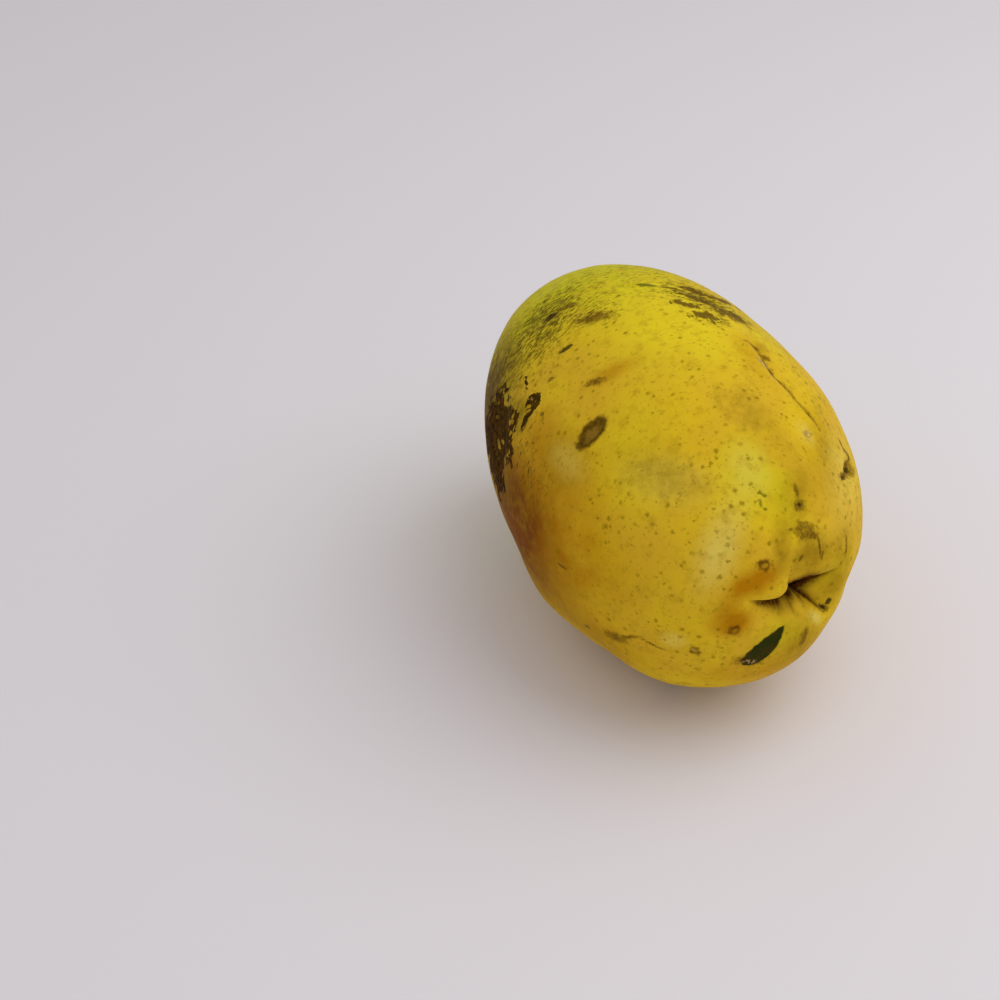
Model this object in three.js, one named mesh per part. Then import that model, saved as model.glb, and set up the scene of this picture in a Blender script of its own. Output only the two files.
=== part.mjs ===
// A whole ripe papaya, lying on its side on a small flat spot.
// Millimetres, +Z up. The fruit's long axis runs along X, with the blossom end at +X and the
// stem end at -X. The origin is on the resting surface, under the middle of the fruit.
import * as THREE from "three";
import { mergeVertices } from "three/addons/utils/BufferGeometryUtils.js";

// Driving dimensions of the bare fruit
const halfLength = 71;
const radius = 47; // half the height at mid length
const sideFactor = 0.94; // the fruit is a little narrower across than it is high
const stemFullness = 0.84; // an ellipse is 1, and a lower value gives a blunter end
const blossomFullness = 0.86;
const taper = 0.1; // the blossom half is this share thicker, the stem half this share thinner
const restDepth = 0.7; // how far the underside is pressed flat

// Facets: rings crowd towards both ends, where the folds and the stem scar are
const ringCount = 70;
const aroundCount = 84;
const ringCrowding = 0.62;

// Five soft lobes, one for each carpel, stronger towards the blossom end
const lobes = { count: 5, height: 0.55, turn: 18, least: 0.4 };

// Soft swellings and hollows: along is millimetres from mid length, around is degrees from +Y
// over the top, and a negative height is a hollow
const swells = [
  { along: 44, around: 35, reach: 15, height: -0.9 }, // hollow beside the side groove
  { along: 20, around: 60, reach: 20, height: 0.3 }, // shoulder above the side groove
  { along: 2, around: 44, reach: 18, height: -0.7 },
  { along: 30, around: 128, reach: 22, height: 0.5 }, // round cheek on top
  { along: 55, around: 175, reach: 16, height: -0.8 }, // flat low on the cheek
  { along: 8, around: 185, reach: 20, height: 0.4 }, // belly on the left side
  { along: 3, around: 198, reach: 10, height: -0.6 },
  { along: 15, around: 213, reach: 9, height: 0.7 },
  { along: 37, around: 224, reach: 14, height: -1.6 }, // flat under the left side
  { along: -54, around: 136, reach: 14, height: 0.7 }, // stem shoulder
  { along: 57, around: -11, reach: 5, height: -1.7 }, // notch where the third fold runs out
  { along: 52, around: -13, reach: 5.5, height: -0.7 },
  { along: 58, around: -34, reach: 8, height: -0.5 },
  { along: 59, around: -78, reach: 11, height: 0.7 }, // lobe below the pucker
  { along: -48, around: 20, reach: 18, height: 0.8 },
  { along: -20, around: -40, reach: 22, height: -0.8 },
  { along: 25, around: -35, reach: 20, height: 0.7 },
];

// Scars that sink into the skin or stand out of it: ellipses, turned from the long axis
const scars = [
  { along: 28, around: 135, long: 5.2, wide: 2.7, turn: 88, height: -0.7 }, // oval scar
  { along: -7, around: 165, long: 14, wide: 8, turn: -36, height: -0.8 }, // large rough scar
  { along: 3, around: 146, long: 5, wide: 3, turn: 115, height: -0.6 },
  { along: 46, around: 30, long: 6.4, wide: 2.8, turn: -30, height: -1.5 }, // dent on the right
  { along: -6, around: 74, long: 10, wide: 5, turn: 20, height: -0.4 }, // rubbed patch on top
];

// A shallow groove with a raised lip down the upper right side, as [along, around] stations
const sideGroove = {
  stations: [
    [19, 69.3],
    [24.2, 68.6],
    [28.1, 68.4],
    [31.1, 67.6],
    [33.8, 65],
    [38, 60],
    [40, 56],
    [41.6, 52],
    [43.4, 49.5],
  ],
  width: 1.4,
  depth: 0.45,
  lip: 0.45,
};

// The puckered blossom end. Offsets are millimetres: across towards +Y, and up.
const pucker = {
  across: 9.8,
  up: 1.2,
  basinReach: 12,
  basinDepth: 3,
  pitReach: 2.7,
  pitStretch: 1.7, // the mouth is this much wider along its own slant
  pitSlant: 20, // degrees up from across
  pitUp: 0.8, // the mouth's middle lies this far above the folds' meeting point
  pitDepth: 7,
};

// Folds that run out of the pucker: angle in degrees from across, how far the line bows at its
// middle, length, depth, and how wide the sharp side and the soft side are. The lip bulges by
// swell on the sharp side.
const folds = [
  { angle: 13, bow: 0.6, length: 14, depth: 5.4, sharp: 1, soft: 4.4, side: 1, swell: 1.4 },
  { angle: 163, bow: 1.3, length: 16.5, depth: 4.8, sharp: 1, soft: 3.6, side: -1, swell: 1.3 },
  { angle: -47, bow: 0.8, length: 17, depth: 3, sharp: 1, soft: 3, side: -1, swell: 0.8 },
  { angle: -90, bow: -0.8, length: 7, depth: 1.4, sharp: 0.8, soft: 1, side: 1, swell: 0.25 },
  { angle: 98, bow: 2.2, length: 10.5, depth: 1.8, sharp: 0.8, soft: 1.6, side: 1, swell: 0.6 },
];

// The stem end: a basin with the round scar of the stalk standing in it
const stemEnd = { basinReach: 13, basinDepth: 4.2, scarRadius: 6.2, scarHeight: 1.3, scarEdge: 1.4 };

const degrees = Math.PI / 180;
const smooth = (low, high, value) => THREE.MathUtils.smoothstep(value, low, high);

// The bare egg: a point on it and its outward normal, for a unit direction of the ball it is
// pulled from. The radius is a power of the ball's own radius, and the power sets the fullness.
function bareSkin(direction) {
  const t = direction.x;
  const s = Math.max(Math.hypot(direction.y, direction.z), 1e-9);
  const c = direction.y / s;
  const d = direction.z / s;
  const fullness = THREE.MathUtils.lerp(stemFullness, blossomFullness, (1 + t) / 2);
  const girth = radius * (1 + taper * t);
  const r = girth * s ** fullness;
  const point = new THREE.Vector3(halfLength * t, sideFactor * r * c, r * d);
  const rise = (s ** (2 - fullness) / girth) / fullness;
  const thicker = (taper * radius * s * s) / (girth * fullness * halfLength);
  const normal = new THREE.Vector3(t / halfLength - thicker, (rise * c) / sideFactor, rise * d);
  return { point, normal: normal.normalize() };
}

// The ball's direction at a place given by millimetres along and degrees around
function directionAt(along, around) {
  const t = along / halfLength;
  const s = Math.sqrt(Math.max(0, 1 - t * t));
  return new THREE.Vector3(t, s * Math.cos(around * degrees), s * Math.sin(around * degrees));
}

const skinAt = (along, around) => bareSkin(directionAt(along, around));

// The ball's direction whose skin point lies at a given offset on the blossom end
function directionAtEnd(across, up) {
  const y = across / sideFactor;
  const r = Math.hypot(y, up);
  const s = (r / (radius * (1 + taper))) ** (1 / blossomFullness);
  return new THREE.Vector3(Math.sqrt(1 - s * s), (s * y) / r, (s * up) / r);
}

const puckerDirection = directionAtEnd(pucker.across, pucker.up);
const puckerSkin = bareSkin(puckerDirection);
const puckerAcross = new THREE.Vector3(0, 0, 1).cross(puckerSkin.normal).normalize();
const puckerUp = puckerSkin.normal.clone().cross(puckerAcross);

const swellRelief = (point) =>
  swells.reduce((sum, swell) => {
    const far = point.distanceTo(skinAt(swell.along, swell.around).point) / swell.reach;
    return sum + swell.height * Math.exp(-far * far);
  }, 0);

// Height of the scars: full inside each ellipse, gone at its edge, by a smooth step
function scarRelief(point) {
  let sum = 0;
  for (const scar of scars) {
    const { point: centre, normal } = skinAt(scar.along, scar.around);
    const along = new THREE.Vector3(1, 0, 0).projectOnPlane(normal).normalize();
    const across = normal.clone().cross(along);
    const offset = point.clone().sub(centre);
    const a = offset.dot(along);
    const b = offset.dot(across);
    const cos = Math.cos(scar.turn * degrees);
    const sin = Math.sin(scar.turn * degrees);
    const far = Math.hypot((a * cos + b * sin) / scar.long, (b * cos - a * sin) / scar.wide);
    const near = Math.abs(offset.dot(normal)) < scar.long ? 1 : 0;
    sum += near * scar.height * smooth(0, 0.55, 1 - far);
  }
  return sum;
}

// Depth and lip of the side groove, from the distance to the nearest of its straight stretches
const grooveLine = sideGroove.stations.map(([along, around]) => skinAt(along, around).point);

function grooveRelief(point) {
  let nearest = Infinity;
  let above = 0;
  for (let i = 0; i + 1 < grooveLine.length; i++) {
    const stretch = new THREE.Line3(grooveLine[i], grooveLine[i + 1]);
    const foot = stretch.closestPointToPoint(point, true, new THREE.Vector3());
    const far = foot.distanceTo(point);
    if (far < nearest) {
      nearest = far;
      above = point.y - foot.y; // the lip is on the +Y side
    }
  }
  const groove = Math.exp(-((nearest / sideGroove.width) ** 2));
  const lip = Math.exp(-(((nearest - 2 * sideGroove.width) / (1.3 * sideGroove.width)) ** 2));
  return -sideGroove.depth * groove + (above > 0 ? sideGroove.lip * lip : 0);
}

// Depth of the pucker below the bare skin: a basin, a slanting pit, and folds that fade with
// their length and fall off faster on their sharp side than on their soft side
function puckerDepth(point) {
  const offset = point.clone().sub(puckerSkin.point);
  if (offset.dot(puckerSkin.normal) < -25) return 0;
  const a = offset.dot(puckerAcross);
  const b = offset.dot(puckerUp);
  const far = Math.hypot(a, b);
  const cos = Math.cos(pucker.pitSlant * degrees);
  const sin = Math.sin(pucker.pitSlant * degrees);
  const above = b - pucker.pitUp;
  const mouth = Math.hypot((a * cos + above * sin) / pucker.pitStretch, above * cos - a * sin);
  let depth = pucker.basinDepth * Math.exp(-((far / pucker.basinReach) ** 2));
  depth += pucker.pitDepth * Math.exp(-((mouth / pucker.pitReach) ** 1.4));
  for (const fold of folds) {
    const angle = fold.angle * degrees;
    const out = a * Math.cos(angle) + b * Math.sin(angle);
    const share = THREE.MathUtils.clamp(out / fold.length, 0, 1);
    const bow = fold.bow * 4 * share * (1 - share);
    const off = (b * Math.cos(angle) - a * Math.sin(angle) - bow) * fold.side;
    const fade = Math.max(0, 1 - (out / fold.length) ** 2) ** 1.3 * smooth(-0.5, 2.5, out);
    const across = Math.abs(off) / (off > 0 ? fold.sharp : fold.soft);
    const lip = Math.exp(-(((off - 3.2) / 2.4) ** 2));
    depth += fade * (fold.depth * Math.exp(-across) - fold.swell * lip);
  }
  return depth;
}

// The stem basin, with the stalk's scar raised inside it
function stemDepth(point) {
  if (point.x > 0) return 0;
  const far = Math.hypot(point.y, point.z);
  const basin = stemEnd.basinDepth * Math.exp(-((far / stemEnd.basinReach) ** 2));
  const edge = smooth(stemEnd.scarRadius - stemEnd.scarEdge, stemEnd.scarRadius, far);
  return basin - stemEnd.scarHeight * (1 - edge);
}

// The finished skin: the bare egg with lobes, swells, scars and groove along its normal, and
// the two ends pressed in along their own axes
function skin(direction) {
  const { point, normal } = bareSkin(direction);
  const s = Math.hypot(direction.y, direction.z);
  const turn = Math.atan2(direction.z, direction.y) - lobes.turn * degrees;
  const strength = THREE.MathUtils.lerp(lobes.least, 1, smooth(-1, 1, direction.x)) * s;
  const lobe = lobes.height * strength * Math.cos(lobes.count * turn);
  const relief = lobe + swellRelief(point) + scarRelief(point) + grooveRelief(point);
  return point
    .clone()
    .addScaledVector(normal, relief)
    .addScaledVector(puckerSkin.normal, -puckerDepth(point))
    .add(new THREE.Vector3(stemDepth(point), 0, 0));
}

// A ball with its pole turned to the pucker, so that its rings and spokes follow the folds;
// each vertex is carried to the skin, and the underside is pressed flat
function fruitGeometry() {
  const ball = new THREE.SphereGeometry(1, aroundCount, ringCount);
  ball.deleteAttribute("normal");
  ball.deleteAttribute("uv");
  const pole = new THREE.Vector3(0, 1, 0);
  const turn = new THREE.Quaternion().setFromUnitVectors(pole, puckerDirection);
  const position = ball.getAttribute("position");
  const spot = new THREE.Vector3();
  for (let i = 0; i < position.count; i++) {
    spot.fromBufferAttribute(position, i);
    const share = Math.acos(THREE.MathUtils.clamp(spot.y, -1, 1)) / Math.PI;
    const ring = Math.PI * (share - (ringCrowding * Math.sin(2 * Math.PI * share)) / (2 * Math.PI));
    const spoke = Math.atan2(spot.z, spot.x);
    const wide = Math.abs(spot.y) > 1 - 1e-9 ? 0 : Math.sin(ring);
    spot.set(wide * Math.cos(spoke), Math.cos(ring), wide * Math.sin(spoke));
    const made = skin(spot.applyQuaternion(turn));
    position.setXYZ(i, made.x, made.y, made.z);
  }
  const fruit = mergeVertices(ball, 1e-3);
  standOnFlat(fruit);
  return fruit;
}

// Presses the lowest part flat, and puts the origin under the middle of the fruit's box
function standOnFlat(fruit) {
  fruit.computeBoundingBox();
  const floor = fruit.boundingBox.min.z + restDepth;
  const centre = fruit.boundingBox.getCenter(new THREE.Vector3());
  const position = fruit.getAttribute("position");
  for (let i = 0; i < position.count; i++) {
    const z = Math.max(position.getZ(i) - floor, 0);
    position.setXYZ(i, position.getX(i) - centre.x, position.getY(i) - centre.y, z);
  }
}

const skinMaterial = new THREE.MeshStandardMaterial({
  color: 0xd6b423,
  roughness: 0.5,
  metalness: 0,
});

const papaya = new THREE.Group();
const fruit = new THREE.Mesh(fruitGeometry(), skinMaterial);
fruit.name = "papaya_fruit";
papaya.add(fruit);

export default papaya;
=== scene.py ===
import bpy
import numpy as np
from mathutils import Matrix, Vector


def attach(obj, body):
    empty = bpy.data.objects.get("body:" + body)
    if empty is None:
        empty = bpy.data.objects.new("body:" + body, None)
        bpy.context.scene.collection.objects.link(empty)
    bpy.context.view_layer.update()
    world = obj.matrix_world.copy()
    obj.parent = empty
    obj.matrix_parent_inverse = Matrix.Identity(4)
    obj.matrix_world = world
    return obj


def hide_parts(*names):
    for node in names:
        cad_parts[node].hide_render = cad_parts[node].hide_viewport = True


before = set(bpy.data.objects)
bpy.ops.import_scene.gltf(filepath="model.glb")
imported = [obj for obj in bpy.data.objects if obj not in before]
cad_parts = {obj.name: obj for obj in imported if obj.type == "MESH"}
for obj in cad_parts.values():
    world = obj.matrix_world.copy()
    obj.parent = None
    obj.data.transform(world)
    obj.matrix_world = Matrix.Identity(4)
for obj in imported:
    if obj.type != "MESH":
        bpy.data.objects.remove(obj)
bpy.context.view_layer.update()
millimetre = 0.001

# The bare fruit, in millimetres: long axis along X, blossom end at +X
fruit = {
    "halfLength": 71.0,
    "radius": 47.0,  # half the height at mid length
    "sideFactor": 0.94,  # narrower across than high
    "stemFullness": 0.84,  # an ellipse is 1, and a lower value gives a blunter end
    "blossomFullness": 0.86,
    "taper": 0.1,  # the blossom half is thicker by this share
    "restDepth": 0.7,  # how far the underside is pressed flat
    "rings": 276,
    "spokes": 340,
    "nearPucker": (0.72, 0.10),  # how much closer rings lie at the end, and how far that reaches
    "nearStem": (0.45, 0.10),
}


def sideMark(along, around, long, wide, turn, **more):
    # An ellipse on the fruit's side: half sizes, and its turn from the long axis
    return {"along": along, "around": around, "long": long, "wide": wide, "turn": turn} | more


def endMark(across, up, long, wide, turn, **more):
    # An ellipse on the blossom end, with its turn read from across
    return {"across": across, "up": up, "long": long, "wide": wide, "turn": turn} | more


# Five soft lobes, one for each carpel
lobes = {"count": 5, "height": 0.55, "turn": 18, "least": 0.4}

# Swellings and hollows: millimetres along from mid length, degrees around from +Y over the top
swells = [
    {"along": 44, "around": 35, "reach": 15, "height": -0.9},
    {"along": 20, "around": 60, "reach": 20, "height": 0.3},
    {"along": 2, "around": 44, "reach": 18, "height": -0.7},
    {"along": 30, "around": 128, "reach": 22, "height": 0.5},
    {"along": 55, "around": 175, "reach": 16, "height": -0.8},
    {"along": 8, "around": 185, "reach": 20, "height": 0.4},
    {"along": 3, "around": 198, "reach": 10, "height": -0.6},
    {"along": 15, "around": 213, "reach": 9, "height": 0.7},
    {"along": 37, "around": 224, "reach": 14, "height": -1.6},
    {"along": -54, "around": 136, "reach": 14, "height": 0.7},
    {"along": 57, "around": -11, "reach": 5, "height": -1.7},
    {"along": 52, "around": -13, "reach": 5.5, "height": -0.7},
    {"along": 58, "around": -34, "reach": 8, "height": -0.5},
    {"along": 59, "around": -78, "reach": 11, "height": 0.7},
    {"along": -48, "around": 20, "reach": 18, "height": 0.8},
    {"along": -20, "around": -40, "reach": 22, "height": -0.8},
    {"along": 25, "around": -35, "reach": 20, "height": 0.7},
]

# Scars that sink into the skin: ellipses, turned from the long axis
scars = [
    sideMark(28, 135, 5.2, 2.7, 88, height=-0.7),
    sideMark(-7, 165, 14, 8, -36, height=-0.8),
    sideMark(3, 146, 5, 3, 115, height=-0.6),
    sideMark(46, 30, 6.4, 2.8, -30, height=-1.5),
    sideMark(-6, 74, 10, 5, 20, height=-0.4),
]

# A shallow groove with a raised lip, as (along, around) stations
sideGroove = {
    "stations": [(19, 69.3), (24.2, 68.6), (28.1, 68.4), (31.1, 67.6), (33.8, 65), (38, 60), (40, 56),
        (41.6, 52), (43.4, 49.5)],
    "width": 1.4,
    "depth": 0.45,
    "lip": 0.45,
}

# The puckered blossom end: offsets from the long axis across towards +Y, and up
pucker = {
    "across": 9.8,
    "up": 1.2,
    "basinReach": 12,
    "basinDepth": 3,
    "pitReach": 2.7,
    "pitStretch": 1.7,
    "pitSlant": 20,
    "pitUp": 0.8,
    "pitDepth": 7,
}

# Folds out of the pucker: angle in degrees from across, and how far the line bows at its middle
# The last two numbers of each fold set its painted shade: how strong, and how much of it lies behind the lip
folds = [
    {"angle": 13, "bow": 0.6, "length": 14, "depth": 5.4, "sharp": 0.45, "soft": 4.4, "side": 1,
        "swell": 1.4, "foldShade": 1, "hidden": 0.5},
    {"angle": 163, "bow": 1.3, "length": 16.5, "depth": 4.8, "sharp": 0.45, "soft": 3.6, "side": -1,
        "swell": 1.3, "foldShade": 0.95, "hidden": 0.5},
    {"angle": -47, "bow": 0.8, "length": 17, "depth": 3, "sharp": 0.45, "soft": 3, "side": -1,
        "swell": 0.8, "foldShade": 0.95, "hidden": 0.1},
    {"angle": -90, "bow": -0.8, "length": 7, "depth": 1.4, "sharp": 0.4, "soft": 1, "side": 1,
        "swell": 0.25, "foldShade": 0.6, "hidden": 0.1},
    {"angle": 98, "bow": 2.2, "length": 10.5, "depth": 1.8, "sharp": 0.5, "soft": 1.6, "side": 1,
        "swell": 0.6, "foldShade": 0.3, "hidden": 0.2},
]

# The stem end: a basin with the round scar of the stalk standing in it
stemEnd = {"basinReach": 13, "basinDepth": 4.2, "scarRadius": 6.2, "scarHeight": 1.3, "scarEdge": 1.4}

# Soft zones of colour, which fade out at the ellipse's edge
zones = {
    "green": [
        sideMark(-30, 105, 40, 34, 0, strength=0.35),
        sideMark(56.7, 92, 14, 9, 4, strength=0.6),
        sideMark(62, 75, 12, 8, 0, strength=0.5),
        sideMark(4, 58, 26, 14, 10, strength=0.35),
        endMark(6, -9, 12, 7, -10, strength=0.5),
        endMark(21, 4, 9, 7, 40, strength=0.4),
    ],
    "bright": [
        sideMark(8, 92, 36, 28, 0, strength=1),
        sideMark(36, 122, 16, 11, 0, strength=0.5),
        sideMark(42, 134, 19, 14, 0, strength=0.6),
        sideMark(42, 178, 18, 12, 0, strength=0.5),
        sideMark(60, 100, 14, 10, 0, strength=0.5),
        sideMark(-15, 98, 28, 20, 0, strength=0.6),
    ],
    "orange": [
        sideMark(22, 176, 48, 26, 0, strength=0.85),
        sideMark(17, 118, 11, 4.5, 79, strength=0.55),
        sideMark(38, 128, 20, 15, 0, strength=0.15),
        sideMark(45, 170, 22, 14, 0, strength=0.2),
        sideMark(25, 72, 14, 8, 0, strength=0.3),
        sideMark(14, 148, 12, 10, 0, strength=0.45),
        endMark(-8.7, -0.4, 9, 7, 0, strength=1),
        endMark(-2.3, 10.4, 9.5, 6.5, 12, strength=1),
        endMark(-9, 7, 8, 5, 60, strength=0.5),
        endMark(-5, -20, 16, 9, 0, strength=0.4),
        sideMark(42, -152, 30, 16, 0, strength=0.5),
        endMark(10, -22, 20, 12, 0, strength=0.35),
        sideMark(32, 150, 26, 16, 0, strength=0.3),
        sideMark(46, 40, 26, 18, 0, strength=0.25),
        sideMark(34, -40, 30, 18, 15, strength=0.6),
        sideMark(2, -95, 30, 22, -20, strength=0.6),
        sideMark(-30, -35, 22, 12, 30, strength=0.5),
    ],
    # Russet on the left flank, painted darker than the skin's own russet to stand in for shade there
    "russetAndShade": [
        sideMark(10, 190, 42, 29, 0, strength=0.95),
        sideMark(14, 170, 28, 17, 0, strength=0.5),
    ],
    "dull": [
        sideMark(62, 74, 14, 8, 0, strength=0.3),
        sideMark(48.8, 78, 12, 9, 20, strength=0.35),
        sideMark(60, 66, 10, 7, 0, strength=0.45),
        sideMark(44, 48, 16, 9, 0, strength=0.3),
        sideMark(26.3, 148, 15, 12, 0, strength=0.5),
        sideMark(46, 125, 15, 8, 30, strength=0.3),
        endMark(12, 12, 10, 8, 0, strength=0.6),
        endMark(23, 10, 11, 8, 80, strength=0.6),
        endMark(22, -2, 9, 7, 60, strength=0.45),
        endMark(12, -17, 12, 9, 0, strength=0.6),
        endMark(6, -11, 15, 8, -10, strength=0.45),
        sideMark(53, 50, 18, 14, 0, strength=0.35),
        endMark(14, 11, 12, 9, 0, strength=0.3),
        endMark(3.6, 17, 10, 4, 88, strength=0.8),
        sideMark(20, 66, 5, 3.5, 0, strength=0.6),
        endMark(17, -1, 14, 12, 0, strength=0.35),
        sideMark(44, -150, 18, 12, 0, strength=0.4),
        sideMark(18, 8, 26, 12, 20, strength=0.45),
        sideMark(-20, -70, 26, 16, 0, strength=0.5),
    ],
    "olive": [
        sideMark(-22, 158, 28, 18, 0, strength=0.6),
        sideMark(-40, 158, 26, 20, 0, strength=0.35),
        sideMark(-4, 174, 24, 12, 0, strength=0.5),
        sideMark(0.5, 152, 9, 7, 0, strength=0.7),
    ],
    # Pale patches: partly the skin's own paler colour, partly painted highlight, such as the ridge below the third fold
    "paleAndHighlight": [
        endMark(-11.5, 19.5, 17, 7.5, 62, strength=0.7),
        endMark(-12, 17.5, 6.5, 5, 40, strength=0.15),
        sideMark(56.5, 93, 11, 8, 0, strength=0.4),
        endMark(16.2, -8.4, 5.5, 2.2, -50, strength=0.8),
        sideMark(51, 124, 18, 9, 40, strength=0.3),
        sideMark(28, 147, 11, 6, 8, strength=0.35),
        sideMark(47, 60, 5.5, 5, 45, strength=0.4),
        sideMark(47.3, 59.4, 2.2, 1.7, 0, strength=0.8),
        sideMark(27.6, 69.8, 2.4, 1.6, 30, strength=1),
        sideMark(32.5, 68.6, 2, 1.2, 40, strength=0.8),
        sideMark(50, 34, 24, 14, 0, strength=0.45),
        sideMark(64.5, -162, 5, 4, 0, strength=0.6),
    ],
    "dash": [
        sideMark(-22, 135, 32, 24, 0, strength=0.35),
        sideMark(-7.8, 113, 11, 6, 33, strength=0.35),
        sideMark(22, 50, 28, 14, 0, strength=0.35),
        sideMark(18, 162, 26, 15, 0, strength=0.6),
        sideMark(12, 181, 28, 13, 0, strength=0.6),
        sideMark(-3, 73, 19, 13, 50, strength=0.7),
        sideMark(0, 150, 18, 12, 0, strength=0.35),
    ],
}

# Marks with an edge, as ellipses
marks = {
    "rough": [
        sideMark(-10, 169, 15, 12.5, 0),
        sideMark(2.3, 145.3, 3, 2.5, 30),
        sideMark(4.2, 150.5, 3.6, 1.5, -61),
        sideMark(-5.5, 144, 2.9, 0.5, -16),
        sideMark(-0.3, 153.5, 2.8, 1, -30),
    ],
    "gap": [
        sideMark(-7.2, 168, 1.9, 0.6, -25),
        sideMark(-4.6, 165.6, 1.4, 0.5, 10),
        sideMark(-14, 163, 1.2, 0.5, 40),
        sideMark(2.4, 148.4, 1.5, 0.3, -50),
        sideMark(5.8, 149.6, 1.2, 0.35, -70),
    ],
    "worn": [
        sideMark(-25, 168, 15, 11, 0),
    ],
    "rubbed": [
        sideMark(-10.2, 72, 5, 2, 46),
        sideMark(1, 84, 5, 1.6, 43),
        sideMark(8.1, 80.4, 4.6, 2.8, 60),
        sideMark(-8.8, 61.5, 7, 2, 108),
        sideMark(4.4, 67.6, 6, 3, 77),
        sideMark(-2.5, 75, 6, 2, 50),
    ],
    "scar": [
        sideMark(28.3, 135, 5, 3, 93),
    ],
    "bruise": [
        endMark(10.6, 19.1, 3.6, 2.3, -27),
        endMark(13.4, 17.1, 1.3, 1, 0),
        endMark(9.7, 21, 1.5, 0.9, 0),
        endMark(14.9, 14, 3.2, 0.4, -80),
        endMark(15.9, 11.1, 1.2, 0.35, 80),
        endMark(9.3, 12.6, 1, 0.5, 60),
        endMark(6.1, 20.6, 0.9, 0.4, 30),
        endMark(12.5, -12.6, 2.9, 1.3, 80),
        endMark(9.8, 28, 1.7, 0.6, -80),
        endMark(9.9, 24.9, 1.8, 1.3, 0),
        endMark(24, 9.5, 2.4, 0.5, 85),
        endMark(-2.6, -15.2, 4.2, 1.7, -23),
        sideMark(55.5, -160.4, 3.8, 0.6, 16),
        sideMark(60.5, -158, 3.2, 0.45, -31),
        sideMark(37.3, 179.5, 1.9, 0.5, 0),
        sideMark(28.2, 141, 1.6, 1, 0),
        endMark(19.4, -7.3, 2, 0.9, -50),
        sideMark(51.7, -157.7, 3.8, 1.9, 8),
        sideMark(16.3, 124.5, 2.8, 1, 56),
        sideMark(2.8, 135.7, 1.6, 0.6, 60),
        sideMark(41.5, -155, 1.4, 0.9, 0),
        sideMark(9.5, 144.7, 0.9, 0.7, 0),
        sideMark(-21, 117.3, 3.2, 1.2, 50),
        sideMark(-6.7, 112.3, 5.4, 2, 52),
        sideMark(20.2, 69.6, 1.9, 1, 30),
        sideMark(24.2, 67, 1.7, 1.1, 50),
        sideMark(45.3, 29, 3.8, 2, -40),
        sideMark(51, 36.7, 2.8, 0.9, -49),
    ],
    "smudge": [
        sideMark(42.5, 86, 5.6, 4.7, 31),
        sideMark(51, 124, 10, 4.2, 40),
        sideMark(62.1, 68, 2.7, 1, 13),
        sideMark(-24, 150, 12, 8, 0),
        endMark(12.5, 15, 5, 4, -40),
        endMark(-5, -14.5, 3, 1.6, -20),
    ],
    "fleck": [
        endMark(-0.3, 29.6, 0.6, 0.45, 40),
        endMark(0.7, 28.8, 0.65, 0.45, -30),
        endMark(-0.6, 28, 0.6, 0.5, 0),
        endMark(0.3, 26.3, 0.7, 0.4, -25),
        endMark(-0.6, 27, 0.5, 0.4, 0),
    ],
    "spot": [
        sideMark(-22.3, 124.4, 2.1, 1.7, 60),
        sideMark(44, 153, 0.7, 0.4, -8),
        sideMark(-2.9, 126.3, 2.4, 0.9, 75),
        sideMark(-15.6, 91.6, 1, 0.5, 48),
        sideMark(45, 28.3, 2.2, 0.8, -40),
        sideMark(51.7, 37, 1.8, 0.6, -49),
        endMark(9.9, 25, 0.6, 0.5, 0),
        endMark(20.4, -5.6, 1.15, 1, 48),
        endMark(18.9, -6.9, 1.5, 0.4, -45),
    ],
    "ring": [
        endMark(-1.3, 14.1, 2.1, 1.6, -27),
        endMark(-8.3, -3.2, 2.1, 1.6, -36),
        endMark(-17, -9.9, 1.9, 1.4, -38),
    ],
    "crumbs": [
        endMark(-2.6, -15.6, 2.8, 1.1, -23),
        endMark(-17, -9.9, 0.9, 0.6, -38),
        sideMark(27.3, 69.8, 2.5, 1.9, 30),
        sideMark(32.4, 68.6, 1.9, 1.3, 40),
        sideMark(47.3, 59.4, 1.9, 1.4, 0),
        sideMark(0.8, 145.3, 0.8, 0.6, 0),
        sideMark(2.6, 142.6, 0.9, 0.5, 90),
    ],
}

# Dark marks strewn over the sides that the camera does not see
strewn = {
    "seed": 11,
    "rough": {"count": 4, "long": (4, 9), "thin": 0.5},
    "smudge": {"count": 9, "long": (2, 7), "thin": 0.5},
    "spot": {"count": 16, "long": (0.6, 1.9), "thin": 0.7},
    "scar": {"count": 3, "long": (2, 4.5), "thin": 0.5},
}

# The leaf-shaped marks, pointed at one end
leafMarks = [
    endMark(1.2, -11.5, 7.4, 3.5, 44),
    sideMark(-13.9, 89.1, 3.3, 1.1, 48),
]

# Thin dark lines in the skin, as (along, around) stations
thinLines = [
    sideGroove["stations"],
    [(39, 38), (41.7, 33.5), (41.3, 29.5), (42.6, 27.8), (44.9, 28), (48, 32), (51, 36.7), (53.7, 39)],
    [(-12.5, 87), (-10.5, 83), (-9.5, 80.5), (-8, 77)],
]


def smooth(low, high, value):
    # 0 below low and 1 above high, with 3t^2 - 2t^3 between them
    t = np.clip((value - low) / (high - low), 0, 1)
    return t * t * (3 - 2 * t)


def bell(distance, reach):
    # 1 at no distance, falling as a Gauss curve
    return np.exp(-((distance / reach) ** 2))


def valueNoise(point, cell, seed):
    # Random heights from -1 to 1 at the corners of cubes, blended across each cube
    place = point / cell
    corner = np.floor(place).astype(np.int64)
    t = place - corner
    t = t * t * (3 - 2 * t)
    total = np.zeros(len(point))
    for step in np.ndindex(2, 2, 2):
        key = ((corner + step) * (73856093, 19349663, 83492791)).sum(axis=1) + seed * 7919
        key = (key ^ (key >> 13)) * 1274126177
        height = ((key ^ (key >> 16)) & 0xFFFF) / 32767.5 - 1
        total += height * np.prod(np.where(step, t, 1 - t), axis=1)
    return total


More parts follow.
